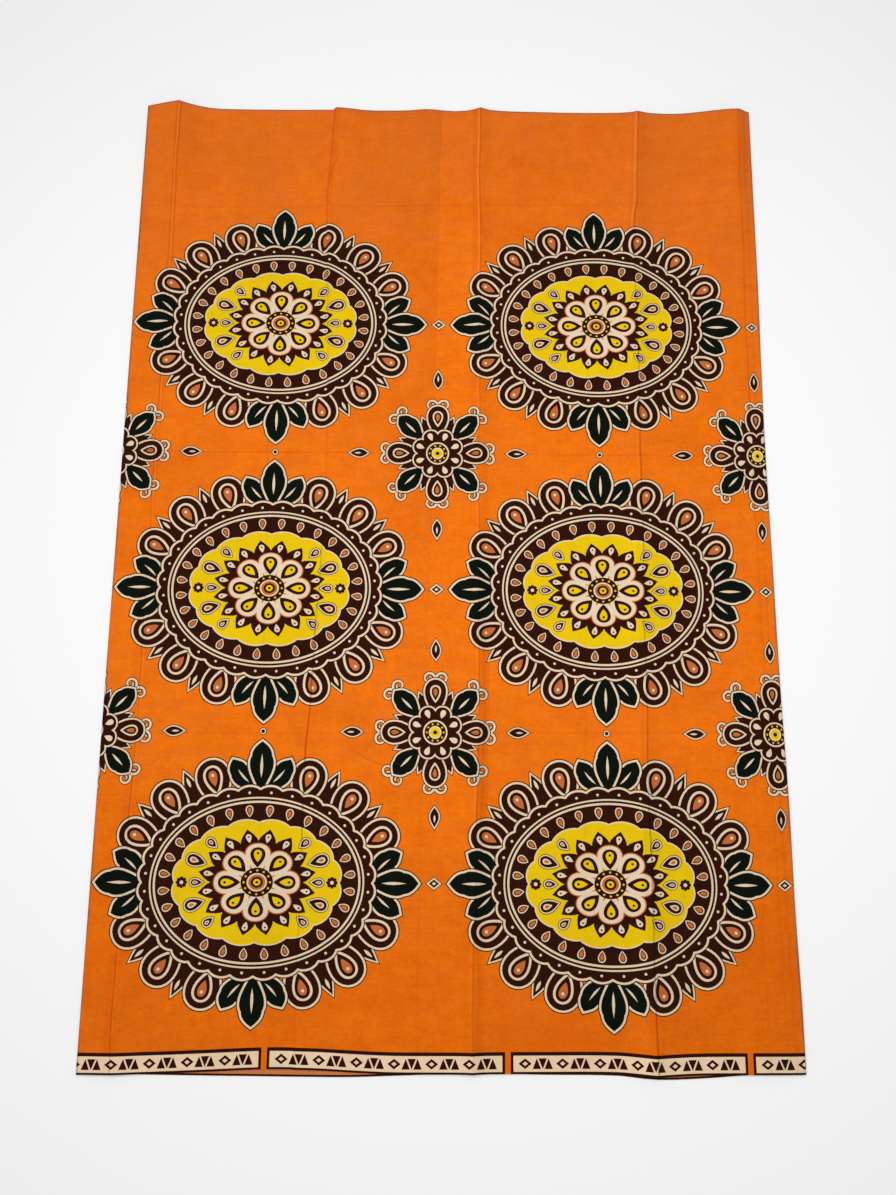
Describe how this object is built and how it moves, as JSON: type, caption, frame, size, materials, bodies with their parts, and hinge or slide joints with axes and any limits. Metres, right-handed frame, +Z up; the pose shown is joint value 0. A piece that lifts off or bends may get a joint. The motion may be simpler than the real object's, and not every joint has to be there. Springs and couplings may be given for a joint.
{
  "type": "wrapper cloth",
  "caption": "Printed cotton wrapper cloth, folded flat to half its width with both side folds pressed and packing creases standing up, lying on a surface.",
  "frame": {"origin": "under the middle of the folded cloth, on the surface that it lies on", "axes": "+Z up out of the surface, +Y along the side folds towards the plain top edge, +X to the right seen from above"},
  "size_m": [0.8, 1.2035, 0.0158],
  "materials": {
    "printed_cotton": "matt plain-weave cotton, orange ground with a print in maroon, cream, yellow and black-green"
  },
  "bodies": {
    "root": {"cloth_front": "printed_cotton", "cloth_back": "printed_cotton"}
  },
  "joints": []
}
